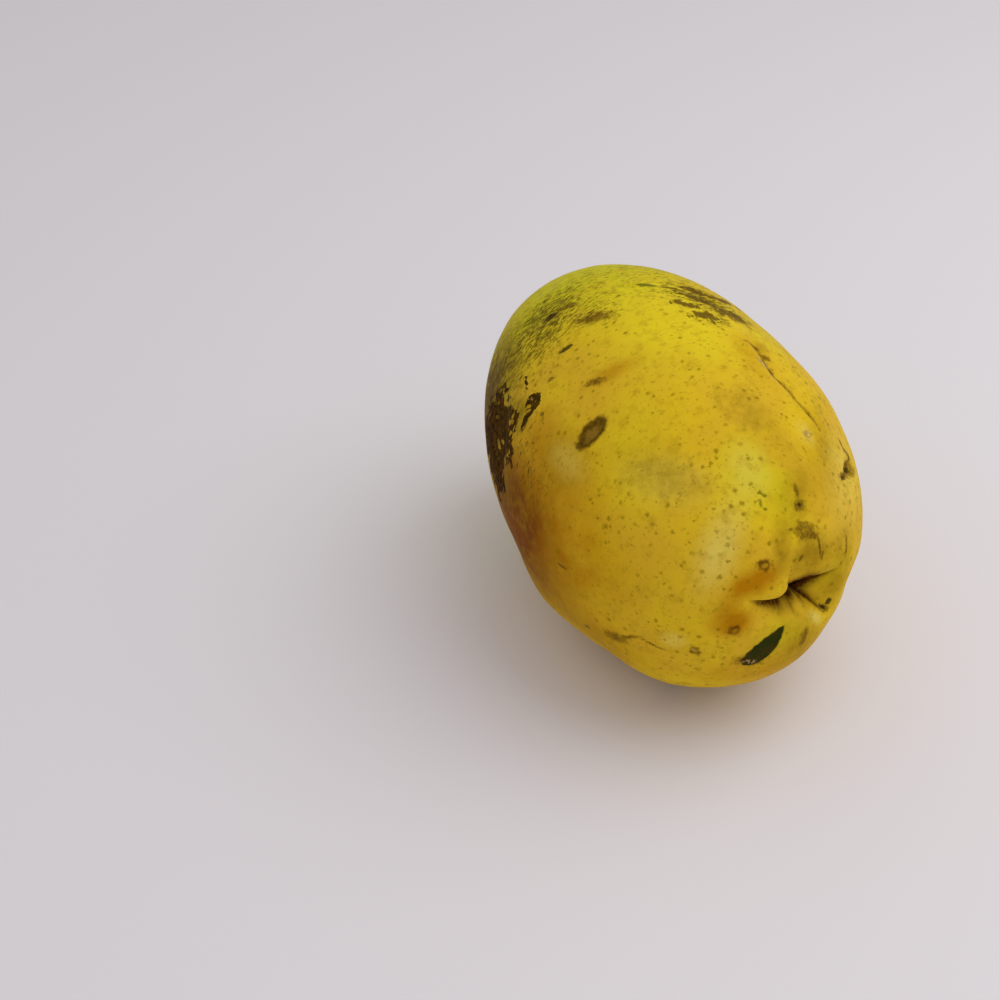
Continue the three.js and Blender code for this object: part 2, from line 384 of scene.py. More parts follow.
def bareSkin(direction):
    # For a unit direction with x = t at a distance s from the long axis: x is halfLength t, and
    # the radius is girth times s to the power of fullness. The normal is that formula's gradient.
    t = direction[:, 0]
    s = np.maximum(np.hypot(direction[:, 1], direction[:, 2]), 1e-9)
    c, d = direction[:, 1] / s, direction[:, 2] / s
    fullness = fruit["stemFullness"] + (fruit["blossomFullness"] - fruit["stemFullness"]) * (1 + t) / 2
    girth = fruit["radius"] * (1 + fruit["taper"] * t)
    r = girth * s**fullness
    point = np.stack([fruit["halfLength"] * t, fruit["sideFactor"] * r * c, r * d], axis=1)
    rise = s ** (2 - fullness) / (girth * fullness)
    thicker = fruit["taper"] * fruit["radius"] * s * s / (girth * fullness * fruit["halfLength"])
    normal = np.stack([t / fruit["halfLength"] - thicker, rise * c / fruit["sideFactor"], rise * d], axis=1)
    return point, normal / np.linalg.norm(normal, axis=1, keepdims=True)


def directionAt(along, around):
    # The ball's direction at a place on the side of the fruit
    t = along / fruit["halfLength"]
    s = np.sqrt(max(0.0, 1 - t * t))
    return np.array([t, s * np.cos(np.radians(around)), s * np.sin(np.radians(around))])


def directionAtEnd(across, up):
    # The ball's direction whose point lies at this offset on the blossom end
    y = across / fruit["sideFactor"]
    r = max(np.hypot(y, up), 1e-6)
    s = (r / (fruit["radius"] * (1 + fruit["taper"]))) ** (1 / fruit["blossomFullness"])
    return np.array([np.sqrt(1 - s * s), s * y / r, s * up / r])


def placeOf(mark):
    # A mark is on the side, by along and around, or on the blossom end, by across and up.
    # Gives its point, its normal, and the two directions in the skin that its turn is read from.
    onEnd = "across" in mark
    if onEnd:
        direction = directionAtEnd(mark["across"], mark["up"])
    else:
        direction = directionAt(mark["along"], mark["around"])
    point, normal = (values[0] for values in bareSkin(direction[None]))
    first = np.array([0.0, 1.0, 0.0]) if onEnd else np.array([1.0, 0.0, 0.0])
    first -= normal * (first @ normal)
    first /= np.linalg.norm(first)
    return point, normal, first, np.cross(normal, first)


# A mark reaches this deep below its plane, in its own lengths and in millimetres more
markDepth = {"share": 2.5, "more": 4, "fadeFrom": 0.6}
behindDrop = 9  # how far a field falls behind its mark


def markPlane(point, mark):
    # Where points lie in a mark's own plane, in its half sizes, and 1 for those far behind it
    centre, normal, first, second = placeOf(mark)
    offset = point - centre
    a, b = offset @ first, offset @ second
    cos, sin = np.cos(np.radians(mark["turn"])), np.sin(np.radians(mark["turn"]))
    depth = np.abs(offset @ normal) / (markDepth["share"] * mark["long"] + markDepth["more"])
    return (a * cos + b * sin) / mark["long"], (b * cos - a * sin) / mark["wide"], smooth(markDepth["fadeFrom"], 1, depth)


def closeness(point, mark):
    # 1 in the middle of a turned ellipse, 0 on its edge and less outside; far behind it, very low
    a, b, behind = markPlane(point, mark)
    return 1 - np.hypot(a, b) - behindDrop * behind


def nearest(point, group):
    # The closeness to the closest mark of a group, no lower than -3
    return np.maximum(np.max([closeness(point, mark) for mark in group], axis=0), -3)


def zone(point, group):
    # The sum of soft ellipses, each smooth from its edge to its middle
    return sum(mark["strength"] * smooth(0, 0.9, closeness(point, mark)) for mark in group)


puckerMark = {"across": pucker["across"], "up": pucker["up"]}
puckerPoint, puckerNormal = placeOf(puckerMark)[:2]
puckerAcross = np.cross([0, 0, 1], puckerNormal)
puckerAcross /= np.linalg.norm(puckerAcross)
puckerUp = np.cross(puckerNormal, puckerAcross)


def swellRelief(point):
    # The sum of Gauss bells round each swell's place
    total = np.zeros(len(point))
    for swell in swells:
        centre = placeOf(swell | {"turn": 0})[0]
        total += swell["height"] * bell(np.linalg.norm(point - centre, axis=1), swell["reach"])
    return total


def scarRelief(point):
    # Each scar's full height inside its ellipse, fading to its edge
    total = np.zeros(len(point))
    for scar in scars:
        total += scar["height"] * smooth(0, 0.55, closeness(point, scar))
    return total


def fineRelief(point):
    # Gentle unevenness everywhere, and coarse grain inside the rough scars
    total = 0.16 * valueNoise(point, 9, 1) + 0.06 * valueNoise(point, 4, 2)
    inside = smooth(-0.1, 0.3, nearest(point, marks["rough"]))
    total += inside * (0.22 * valueNoise(point, 2.6, 3) + 0.12 * valueNoise(point, 1.4, 4))
    return total - 0.25 * smooth(0, 0.7, nearest(point, marks["spot"]))


def lineDistance(point, line):
    # Distance to the nearest stretch of a line of points, how far along the line in millimetres,
    # and on which side of it, seen from outside
    best = np.full(len(point), 1e9)
    along = np.zeros(len(point))
    side = np.zeros(len(point))
    travelled = 0.0
    for (start, normal), (end, _) in zip(line, line[1:]):
        stretch = end - start
        length = np.linalg.norm(stretch)
        share = np.clip((point - start) @ stretch / length**2, 0, 1)
        away = point - start - share[:, None] * stretch
        far = np.linalg.norm(away, axis=1)
        nearer = far < best
        along = np.where(nearer, travelled + share * length, along)
        side = np.where(nearer, away @ np.cross(normal, stretch / length), side)
        best = np.minimum(best, far)
        travelled += length
    return best, along, side, travelled


def lineOf(stations):
    # Points and normals on the bare skin for a list of (along, around) stations
    return [placeOf({"along": along, "around": around})[:2] for along, around in stations]


def grooveRelief(point):
    # A Gauss groove along the line, with a Gauss lip beside it on the +Y side
    width = sideGroove["width"]
    far, _, side, _ = lineDistance(point, lineOf(sideGroove["stations"]))
    groove = bell(far, width)
    lip = bell(far - 2 * width, 1.3 * width) * (side < 0)
    return sideGroove["lip"] * lip - sideGroove["depth"] * groove


def lineField(point):
    # Distance to the nearest thin line, growing over the last 2.5 mm at its ends
    total = np.full(len(point), 20.0)
    for stations in thinLines:
        far, along, _, length = lineDistance(point, lineOf(stations))
        end = 1 - smooth(0, 2.5, along) * smooth(0, 2.5, length - along)
        total = np.minimum(total, far + end)
    return total


def puckerPlane(point):
    # Offsets across and up from the pucker, and 0 for points on the far side of the fruit
    offset = point - puckerPoint
    return offset @ puckerAcross, offset @ puckerUp, offset @ puckerNormal > -25


def foldShape(a, b, fold):
    # Fade along a fold, and the signed distance across it, positive on its sharp side
    angle = np.radians(fold["angle"])
    out = a * np.cos(angle) + b * np.sin(angle)
    share = np.clip(out / fold["length"], 0, 1)
    bow = fold["bow"] * 4 * share * (1 - share)
    off = (b * np.cos(angle) - a * np.sin(angle) - bow) * fold["side"]
    fade = np.clip(1 - (out / fold["length"]) ** 2, 0, 1) ** 1.3 * smooth(-0.5, 2.5, out)
    return fade, off, out


def mouthDistance(a, b):
    # Distance from the pit's middle, stretched along its slant
    b = b - pucker["pitUp"]
    slant = np.radians(pucker["pitSlant"])
    return np.hypot((a * np.cos(slant) + b * np.sin(slant)) / pucker["pitStretch"],
        b * np.cos(slant) - a * np.sin(slant))


def puckerDepth(point):
    # A Gauss basin, a slanting pit, folds that fall off faster on their sharp side, and small
    # wrinkles that cross the second fold's soft side
    a, b, near = puckerPlane(point)
    pit = np.exp(-((mouthDistance(a, b) / pucker["pitReach"]) ** 1.4))
    depth = pucker["basinDepth"] * bell(np.hypot(a, b), pucker["basinReach"]) + pucker["pitDepth"] * pit
    for fold in folds:
        fade, off, _ = foldShape(a, b, fold)
        across = np.abs(off) / np.where(off > 0, fold["sharp"], fold["soft"])
        depth += fade * (fold["depth"] * np.exp(-across) - fold["swell"] * bell(off - 3.2, 2.4))
    fade, off, out = foldShape(a, b, folds[1])
    depth += 0.1 * fade * bell(off + 1.6, 1.1) * np.cos(2 * np.pi * out / 1.5 + 1.2 * off + 2 * valueNoise(point, 3, 9))
    return depth * near


def creaseShadeField(point):
    # Painted shade in the pit and along each fold's bottom, from 0 to 1; a deeper fold hides more
    # of it behind its lip, so the painted shade reaches further out on the soft side
    a, b, near = puckerPlane(point)
    total = smooth(2.1, 0.5, mouthDistance(a, b - 0.8) / pucker["pitReach"])
    for fold in folds:
        fade, off, out = foldShape(a, b, fold)
        reach = 0.6 + 2.2 * bell(out, 6)
        seen = np.where(off > 0, off / 0.4, np.maximum(-off - fold["hidden"] * fold["depth"] * fade,
            0) / reach)
        total = np.maximum(total, fold["foldShade"] * fade**0.8 * np.exp(-seen))
    return total * near


def stemDepth(point):
    # A Gauss basin, less the stalk's raised scar with its rough face
    far = np.hypot(point[:, 1], point[:, 2])
    edge = smooth(stemEnd["scarRadius"] - stemEnd["scarEdge"], stemEnd["scarRadius"], far)
    basin = stemEnd["basinDepth"] * bell(far, stemEnd["basinReach"])
    face = 0.18 * valueNoise(point, 1.3, 5) + 0.1 * np.cos(2 * np.pi * far / 1.9)
    return (basin - (stemEnd["scarHeight"] + face) * (1 - edge)) * (point[:, 0] < 0)


def skin(direction):
    # The bare fruit with its relief along the normal, and both ends pressed in. Gives the
    # made points and the bare ones, which the fields are worked out from.
    point, normal = bareSkin(direction)
    s = np.hypot(direction[:, 1], direction[:, 2])
    turn = np.arctan2(direction[:, 2], direction[:, 1]) - np.radians(lobes["turn"])
    strength = lobes["least"] + (1 - lobes["least"]) * smooth(-1, 1, direction[:, 0])
    relief = lobes["height"] * strength * s * np.cos(lobes["count"] * turn)
    relief += swellRelief(point) + scarRelief(point) + grooveRelief(point) + fineRelief(point)
    made = point + normal * relief[:, None] - puckerNormal * puckerDepth(point)[:, None]
    made[:, 0] += stemDepth(point)
    return made, point


def ringAngles():
    # Angles from the pucker's pole to the stem's, with smaller steps near both ends
    share = np.linspace(0, 1, fruit["rings"] + 1)
    (puckerCut, puckerReach), (stemCut, stemReach) = fruit["nearPucker"], fruit["nearStem"]
    step = 1 - puckerCut * bell(share, puckerReach) - stemCut * bell(1 - share, stemReach)
    angle = np.concatenate([[0], np.cumsum((step[1:] + step[:-1]) / 2)])
    return np.pi * angle / angle[-1]


def ballDirections():
    # Unit directions on rings and spokes about the pucker's own direction, with one at each pole
    pole = directionAtEnd(pucker["across"], pucker["up"])
    side = np.cross([0, 0, 1], pole)
    side /= np.linalg.norm(side)
    over = np.cross(pole, side)
    ring = ringAngles()[1:-1, None]
    spoke = np.arange(fruit["spokes"])[None] * 2 * np.pi / fruit["spokes"]
    lean = np.cos(spoke)[..., None] * side + np.sin(spoke)[..., None] * over
    body = np.cos(ring)[..., None] * pole + np.sin(ring)[..., None] * lean
    return np.concatenate([pole[None], body.reshape(-1, 3), -pole[None]])


def ballFaces():
    # Quads between neighbouring rings and spokes, and a fan of triangles at each pole
    ringCount, spokes = fruit["rings"] - 1, fruit["spokes"]
    here = 1 + np.arange(ringCount * spokes).reshape(ringCount, spokes)
    after = np.roll(here, -1, axis=1)
    quads = np.stack([here[:-1], here[1:], after[1:], after[:-1]], axis=-1).reshape(-1, 4)
    first = np.stack([np.zeros(spokes, int), here[0], after[0]], axis=-1)
    last = np.stack([np.full(spokes, ringCount * spokes + 1), after[-1], here[-1]], axis=-1)
    return quads, np.concatenate([first, last])


def makeMesh(name, vertices, quads, triangles):
    # Puts whole arrays of points and faces into a new mesh
    mesh = bpy.data.meshes.new(name)
    loops = np.concatenate([quads.ravel(), triangles.ravel()])
    sizes = np.concatenate([np.full(len(quads), 4), np.full(len(triangles), 3)])
    starts = np.concatenate([[0], np.cumsum(sizes)[:-1]])
    mesh.vertices.add(len(vertices))
    mesh.vertices.foreach_set("co", vertices.astype(np.float32).ravel())
    mesh.loops.add(len(loops))
    mesh.loops.foreach_set("vertex_index", loops.astype(np.int32))
    mesh.polygons.add(len(sizes))
    mesh.polygons.foreach_set("loop_start", starts.astype(np.int32))
    mesh.polygons.foreach_set("use_smooth", np.ones(len(sizes), bool))
    mesh.update(calc_edges=True)
    mesh.validate()
    return mesh


def addField(mesh, name, values):
    # Stores one number at each vertex, for the material to read
    field = mesh.attributes.new(name, "FLOAT", "POINT")
    field.data.foreach_set("value", values.astype(np.float32))


def strewMarks():
    # Adds random ellipses to the groups of marks, on the back and the underside
    random = np.random.default_rng(strewn["seed"])
    for group in ("rough", "smudge", "spot", "scar"):
        look = strewn[group]
        for _ in range(look["count"]):
            long = random.uniform(*look["long"])
            place = {"along": random.uniform(-56, 46), "around": random.uniform(-112, 0),
                "turn": random.uniform(0, 180)}
            marks[group].append(place | {"long": long, "wide": long * look["thin"]})


def leafField(point, mark):
    # 1 deep inside a leaf mark, 0 on its outline, which narrows to a point at one end
    a, b, behind = markPlane(point, mark)
    inside = np.clip(a, -1, 1)
    width = (1 - inside) * np.sqrt(1 + inside) / 1.09
    return width - np.abs(b) - np.abs(a - inside) * 2 - behindDrop * behind


def stalkField(point):
    # Distance from the stem end's middle, drawn in five times round, in scar radii
    far = np.hypot(point[:, 1], point[:, 2])
    five = 1 + 0.05 * np.cos(5 * np.arctan2(point[:, 2], point[:, 1]))
    return np.where(point[:, 0] < 0, far / (stemEnd["scarRadius"] * five), 9)


def addFields(mesh, point):
    # Every colour zone and mark, stored as a field of its own
    x = point[:, 0]
    green = zone(point, zones["green"]) + 0.75 * smooth(2, -48, x)
    dash = zone(point, zones["dash"]) + 0.55 * smooth(12, -24, x)
    addField(mesh, "green", np.clip(green, 0, 1))
    patchy = 0.8 + 0.3 * valueNoise(point, 11, 6) + 0.35 * valueNoise(point, 24, 7)
    addField(mesh, "dash", np.clip(dash * patchy, 0, 1))
    for name in ("bright", "orange", "russetAndShade", "paleAndHighlight", "dull", "olive"):
        addField(mesh, name, np.clip(zone(point, zones[name]), 0, 1))
    for name in ("worn", "rubbed", "scar", "bruise", "smudge", "fleck", "spot", "ring", "crumbs"):
        addField(mesh, name, nearest(point, marks[name]))
    addField(mesh, "rough", np.minimum(nearest(point, marks["rough"]), -2 * nearest(point, marks["gap"])))
    addField(mesh, "leaf", np.maximum(np.max([leafField(point, mark) for mark in leafMarks], axis=0), -3))
    # Painted shade in the pucker's pit and along its folds
    addField(mesh, "creaseShade", creaseShadeField(point))
    addField(mesh, "thinLine", lineField(point))
    addField(mesh, "stalk", stalkField(point))


def addNode(tree, kind, inputs=None, **settings):
    # A node with its settings; an input is a value, or another node's output to link
    node = tree.nodes.new(kind)
    for name, value in settings.items():
        setattr(node, name, value)
    for name, value in (inputs or {}).items():
        if isinstance(value, bpy.types.NodeSocket):
            tree.links.new(value, node.inputs[name])
        else:
            node.inputs[name].default_value = value
    return node


def calculate(tree, operation, *values, clamp=False):
    # One step of arithmetic
    return addNode(tree, "ShaderNodeMath", dict(enumerate(values)), operation=operation,
        use_clamp=clamp).outputs[0]


def times(tree, first, second, clamp=False):
    # One number times another
    return calculate(tree, "MULTIPLY", first, second, clamp=clamp)


def ramp(tree, value, low, high, start=0.0, end=1.0):
    # start below low and end above high, with a smooth step between them
    inputs = {"Value": value, "From Min": low, "From Max": high, "To Min": start, "To Max": end}
    return addNode(tree, "ShaderNodeMapRange", inputs, interpolation_type="SMOOTHSTEP").outputs[0]


def noise(tree, vector, scale, detail=2.0, roughness=0.5):
    # Smooth noise around 0.5
    inputs = {"Vector": vector, "Scale": scale, "Detail": detail, "Roughness": roughness}
    return addNode(tree, "ShaderNodeTexNoise", inputs)


def paint(tree, under, over, mask):
    # The colour over, laid on the colour under where the mask is 1
    return addNode(tree, "ShaderNodeMix", {0: mask, 6: under, 7: over}, data_type="RGBA").outputs[2]


def newGroup(name, numbers, result):
    # An empty node group that takes a vector and the named numbers, and gives one number
    tree = bpy.data.node_groups.new(name, "ShaderNodeTree")
    tree.interface.new_socket("Vector", in_out="INPUT", socket_type="NodeSocketVector")
    for label, value in numbers.items():
        tree.interface.new_socket(label, in_out="INPUT", socket_type="NodeSocketFloat").default_value = value
    tree.interface.new_socket(result, in_out="OUTPUT", socket_type="NodeSocketFloat")
    return tree, tree.nodes.new("NodeGroupInput").outputs, tree.nodes.new("NodeGroupOutput").inputs[0]


def makeSpots():
    # Spots round the random points of a grid: Share of the points have one, and its radius is
    # between 0.45 and 1 of Radius. Wobble bends the outlines.
    numbers = {"Spacing": 2.0, "Radius": 0.5, "Share": 0.5, "Wobble": 0.3}
    tree, given, result = newGroup("skin_spots", numbers, "Mask")
    bend = addNode(tree, "ShaderNodeVectorMath", {0: noise(tree, given["Vector"], 1.4).outputs["Color"],
        1: (0.5, 0.5, 0.5)}, operation="SUBTRACT")
    bend = addNode(tree, "ShaderNodeVectorMath", {0: bend.outputs[0], "Scale": given["Wobble"]},
        operation="SCALE")
    place = addNode(tree, "ShaderNodeVectorMath", {0: given["Vector"], 1: bend.outputs[0]}, operation="ADD")
    scale = calculate(tree, "DIVIDE", 1.0, given["Spacing"])
    cell = addNode(tree, "ShaderNodeTexVoronoi", {"Vector": place.outputs[0], "Scale": scale})
    random = addNode(tree, "ShaderNodeSeparateColor", {"Color": cell.outputs["Color"]}).outputs
    radius = times(tree, calculate(tree, "MULTIPLY_ADD", random[0], 0.55, 0.45), given["Radius"])
    far = calculate(tree, "DIVIDE", times(tree, cell.outputs["Distance"], given["Spacing"]), radius)
    present = calculate(tree, "LESS_THAN", random[1], given["Share"])
    tree.links.new(times(tree, ramp(tree, far, 0.3, 1.15, 1.0, 0.0), present), result)
    return tree


def makeStreaks():
    # Dashes that run round the fruit: noise stretched to Thickness along the fruit and Length
    # round it, kept where it rises above a level that falls as Amount grows
    numbers = {"Thickness": 0.5, "Length": 2.5, "Amount": 0.5}
    tree, given, result = newGroup("skin_streaks", numbers, "Mask")
    thin = calculate(tree, "DIVIDE", 1.0, given["Thickness"])
    long = calculate(tree, "DIVIDE", 1.0, given["Length"])
    stretch = addNode(tree, "ShaderNodeCombineXYZ", {0: thin, 1: long, 2: long}).outputs[0]
    place = addNode(tree, "ShaderNodeVectorMath", {0: given["Vector"], 1: stretch},
        operation="MULTIPLY").outputs[0]
    height = addNode(tree, "ShaderNodeTexNoise", {"Vector": place, "Scale": 1.0, "Detail": 4.0,
        "Roughness": 0.65, "Distortion": 0.5}).outputs["Fac"]
    level = calculate(tree, "MULTIPLY_ADD", given["Amount"], -0.3, 0.72)
    above = ramp(tree, calculate(tree, "SUBTRACT", height, level), -0.04, 0.07)
    tree.links.new(times(tree, above, ramp(tree, given["Amount"], 0.02, 0.2)), result)
    return tree


def makeMottle():
    # A soft field broken up by noise: Field times 1 plus or minus Rough
    numbers = {"Field": 0.0, "Grain": 5.0, "Rough": 0.5}
    tree, given, result = newGroup("skin_mottle", numbers, "Mask")
    height = noise(tree, given["Vector"], calculate(tree, "DIVIDE", 1.0, given["Grain"]), 4.0,
        0.6).outputs["Fac"]
    change = times(tree, calculate(tree, "SUBTRACT", height, 0.5), times(tree, given["Rough"], 4.0))
    tree.links.new(times(tree, given["Field"], calculate(tree, "ADD", change, 1.0), clamp=True), result)
    return tree


def makeEdge():
    # A mark with a broken edge: a smooth step of width Soft where Field plus noise passes 0
    numbers = {"Field": 0.0, "Grain": 2.0, "Rough": 0.3, "Soft": 0.1}
    tree, given, result = newGroup("skin_edge", numbers, "Mask")
    height = noise(tree, given["Vector"], calculate(tree, "DIVIDE", 1.0, given["Grain"]), 3.0,
        0.6).outputs["Fac"]
    change = times(tree, calculate(tree, "SUBTRACT", height, 0.5), times(tree, given["Rough"], 4.0))
    total = calculate(tree, "ADD", given["Field"], change)
    tree.links.new(ramp(tree, total, times(tree, given["Soft"], -1.0), given["Soft"]), result)
    return tree


colours = {
    "gold": (0.77, 0.52, 0.016, 1),
    "mustard": (0.72, 0.45, 0.022, 1),
    "bright": (0.80, 0.62, 0.018, 1),
    "green": (0.63, 0.58, 0.01, 1),
    "amber": (0.49, 0.205, 0.002, 1),
    # Russet skin colour, darkened as painted shade
    "russetAndShade": (0.21, 0.058, 0.001, 1),
    "dull": (0.42, 0.25, 0.008, 1),
    "oliveWash": (0.17, 0.12, 0.003, 1),
    # Paler skin, also used as painted highlight
    "paleAndHighlight": (0.80, 0.62, 0.105, 1),
    "olive": (0.27, 0.17, 0.008, 1),
    "speck": (0.25, 0.165, 0.002, 1),
    "dash": (0.085, 0.062, 0.003, 1),
    "rough": (0.024, 0.011, 0.002, 1),
    "roughBrown": (0.085, 0.032, 0.003, 1),
    "worn": (0.13, 0.07, 0.004, 1),
    "bruise": (0.15, 0.075, 0.004, 1),
    "fleck": (0.19, 0.155, 0.004, 1),
    "scar": (0.24, 0.13, 0.014, 1),
    "scarRim": (0.085, 0.04, 0.003, 1),
    "spot": (0.045, 0.025, 0.004, 1),
    "ring": (0.10, 0.042, 0.002, 1),
    "leaf": (0.028, 0.034, 0.003, 1),
    "leafTip": (0.05, 0.035, 0.003, 1),
    "tan": (0.44, 0.27, 0.10, 1),
    "leafLight": (0.2, 0.2, 0.004, 1),
    # Painted shade: dark brown for the fold bottoms, near black for the pit
    "foldShade": (0.09, 0.028, 0.002, 1),
    "pit": (0.004, 0.001, 0.0004, 1),
    "cork": (0.17, 0.11, 0.055, 1),
    "corkRim": (0.045, 0.03, 0.015, 1),
}


def skinMaterial():
    # The papaya's skin: a gold ground under its zones, specks, dashes, scars, and painted shade in the pucker's pit and
    # folds
    material = bpy.data.materials.new("papaya_skin")
    material.use_nodes = True
    tree = material.node_tree
    shader = tree.nodes["Principled BSDF"]
    spots, streaks, mottle, edge = makeSpots(), makeStreaks(), makeMottle(), makeEdge()
    place = addNode(tree, "ShaderNodeTexCoord").outputs["Object"]
    place = addNode(tree, "ShaderNodeMapping", {"Vector": place, "Scale": (1000, 1000, 1000)}).outputs[0]

    def field(name):
        return addNode(tree, "ShaderNodeAttribute", attribute_name=name).outputs["Fac"]

    def use(group, **numbers):
        return addNode(tree, "ShaderNodeGroup", {"Vector": place} | numbers, node_tree=group).outputs[0]

    ground = paint(tree, colours["gold"], colours["mustard"],
        ramp(tree, noise(tree, place, 0.06, 3.0).outputs["Fac"], 0.35, 0.65))
    ground = paint(tree, ground, colours["bright"], use(mottle, Field=field("bright"), Grain=8.0, Rough=0.4))
    ground = paint(tree, ground, colours["amber"], use(mottle, Field=field("orange"), Grain=6.0, Rough=0.35))
    ground = paint(tree, ground, colours["green"], use(mottle, Field=field("green"), Grain=5.0, Rough=0.5))
    ground = paint(tree, ground, colours["dull"], use(mottle, Field=field("dull"), Grain=4.0, Rough=0.5))
    # Russet on the left flank, partly painted shade
    ground = paint(tree, ground, colours["russetAndShade"], use(mottle, Field=field("russetAndShade"), Grain=7.0, Rough=0.25))
    ground = paint(tree, ground, colours["oliveWash"],
        use(mottle, Field=field("olive"), Grain=3.5, Rough=0.6))
    # Pale patches, partly painted highlight
    ground = paint(tree, ground, colours["paleAndHighlight"], use(mottle, Field=field("paleAndHighlight"), Grain=4.0, Rough=0.4))
    cloud = ramp(tree, noise(tree, place, 0.3, 5.0, 0.65).outputs["Fac"], 0.48, 0.72, 0.0, 0.4)
    ground = paint(tree, ground, colours["dull"], cloud)

    smudge = times(tree, use(edge, Field=field("smudge"), Grain=3.0, Rough=0.6, Soft=0.6), 0.3)
    ground = paint(tree, ground, colours["olive"], use(mottle, Field=smudge, Grain=1.6, Rough=0.7))
    patchy = ramp(tree, noise(tree, place, 0.11, 2.0).outputs["Fac"], 0.35, 0.6, 0.25, 0.75)
    specks = times(tree, use(spots, Spacing=2.1, Radius=0.85, Share=0.7, Wobble=1.1), patchy)
    ground = paint(tree, ground, colours["speck"], times(tree, specks, 0.95))
    flecks = use(spots, Spacing=1.2, Radius=0.42, Share=0.5, Wobble=0.6)
    ground = paint(tree, ground, colours["speck"], times(tree, flecks, 0.4))
    blots = use(streaks, Thickness=1.1, Length=2.6, Amount=0.34)
    ground = paint(tree, ground, colours["speck"], times(tree, blots, 0.32))
    crackle = times(tree, ramp(tree, noise(tree, place, 0.45, 5.0, 0.7).outputs["Fac"], 0.5, 0.62),
        field("dash"))
    ground = paint(tree, ground, colours["worn"], times(tree, crackle, 0.7))
    dashes = use(streaks, Thickness=0.5, Length=1.9, Amount=field("dash"))
    ground = paint(tree, ground, colours["dash"], times(tree, dashes, 0.88))
    bruise = use(edge, Field=field("bruise"), Grain=1.2, Rough=0.45, Soft=0.45)
    ground = paint(tree, ground, colours["bruise"], use(mottle, Field=times(tree, bruise, 0.75),
        Grain=0.9, Rough=0.4))
    fleck = use(edge, Field=field("fleck"), Grain=0.7, Rough=0.4, Soft=0.4)
    ground = paint(tree, ground, colours["fleck"], times(tree, fleck, 0.8))

    worn = use(edge, Field=field("worn"), Grain=2.5, Rough=0.9, Soft=0.8)
    wash = use(mottle, Field=times(tree, worn, 0.35), Grain=1.8, Rough=0.7)
    ground = paint(tree, ground, colours["oliveWash"], wash)
    worn = use(streaks, Thickness=0.5, Length=3.4, Amount=times(tree, worn, 1.3))
    ground = paint(tree, ground, colours["worn"], times(tree, worn, 0.85))
    rubbed = use(edge, Field=field("rubbed"), Grain=2.5, Rough=0.8, Soft=0.8)
    wash = use(mottle, Field=times(tree, rubbed, 0.4), Grain=1.8, Rough=0.7)
    ground = paint(tree, ground, colours["worn"], wash)
    rubbed = use(streaks, Thickness=4.5, Length=0.75, Amount=times(tree, rubbed, 1.3))
    ground = paint(tree, ground, colours["worn"], times(tree, rubbed, 0.85))
    rough = use(edge, Field=field("rough"), Grain=3.5, Rough=0.55, Soft=0.18)
    torn = use(streaks, Thickness=0.7, Length=4.0, Amount=times(tree, rough, 1.35))
    crust = paint(tree, colours["roughBrown"], colours["rough"],
        ramp(tree, noise(tree, place, 0.7, 3.0).outputs["Fac"], 0.4, 0.56))
    ground = paint(tree, ground, crust, times(tree, torn, 0.95))
    scar = use(edge, Field=field("scar"), Grain=1.5, Rough=0.12, Soft=0.2)
    tone = calculate(tree, "MULTIPLY_ADD", noise(tree, place, 0.9, 3.0).outputs["Fac"], 1.2, field("scar"))
    scarTone = paint(tree, colours["scarRim"], colours["scar"], ramp(tree, tone, 0.8, 1.3))
    ground = paint(tree, ground, scarTone, times(tree, scar, 0.94))
    spot = use(edge, Field=field("spot"), Grain=0.8, Rough=0.3, Soft=0.3)
    ground = paint(tree, ground, colours["spot"], times(tree, spot, 0.9))
    band = calculate(tree, "ABSOLUTE", calculate(tree, "SUBTRACT", field("ring"), 0.4))
    ring = use(edge, Field=calculate(tree, "SUBTRACT", 0.28, band), Grain=1.5, Rough=0.5, Soft=0.45)
    ring = calculate(tree, "MAXIMUM", ring, ramp(tree, field("ring"), 0.1, 0.6, 0.0, 0.35))
    ground = paint(tree, ground, colours["ring"], times(tree, ring, 0.85))
    leaf = use(edge, Field=field("leaf"), Grain=1.2, Rough=0.08, Soft=0.09)
    blade = paint(tree, colours["leaf"], colours["leafTip"],
        ramp(tree, noise(tree, place, 0.35, 3.0).outputs["Fac"], 0.4, 0.6))
    blade = paint(tree, blade, colours["leafLight"], ramp(tree, field("stalk"), 8.8, 8.2))
    ground = paint(tree, ground, blade, leaf)
    line = use(edge, Field=calculate(tree, "SUBTRACT", 0.12, field("thinLine")), Grain=1.6, Rough=0.6,
        Soft=0.3)
    beside = use(edge, Field=calculate(tree, "SUBTRACT", 0.7, field("thinLine")), Grain=2.2, Rough=0.8,
        Soft=0.7)
    ground = paint(tree, ground, colours["bruise"], times(tree, beside, 0.6))
    ground = paint(tree, ground, colours["spot"], times(tree, line, 0.65))
    broken = ramp(tree, noise(tree, place, 1.1, 3.0).outputs["Fac"], 0.46, 0.56)
    crumbs = times(tree, ramp(tree, field("crumbs"), 0.0, 0.35), broken)
    ground = paint(tree, ground, colours["tan"], times(tree, crumbs, 0.85))
    # Painted shade: dark brown along the fold bottoms, near black deep in the pucker's pit
    creaseShade = field("creaseShade")
    ground = paint(tree, ground, colours["foldShade"], use(mottle, Field=ramp(tree, creaseShade, 0.05, 0.8),
        Grain=1.0, Rough=0.3))
    ground = paint(tree, ground, colours["pit"], ramp(tree, creaseShade, 0.75, 1.0))

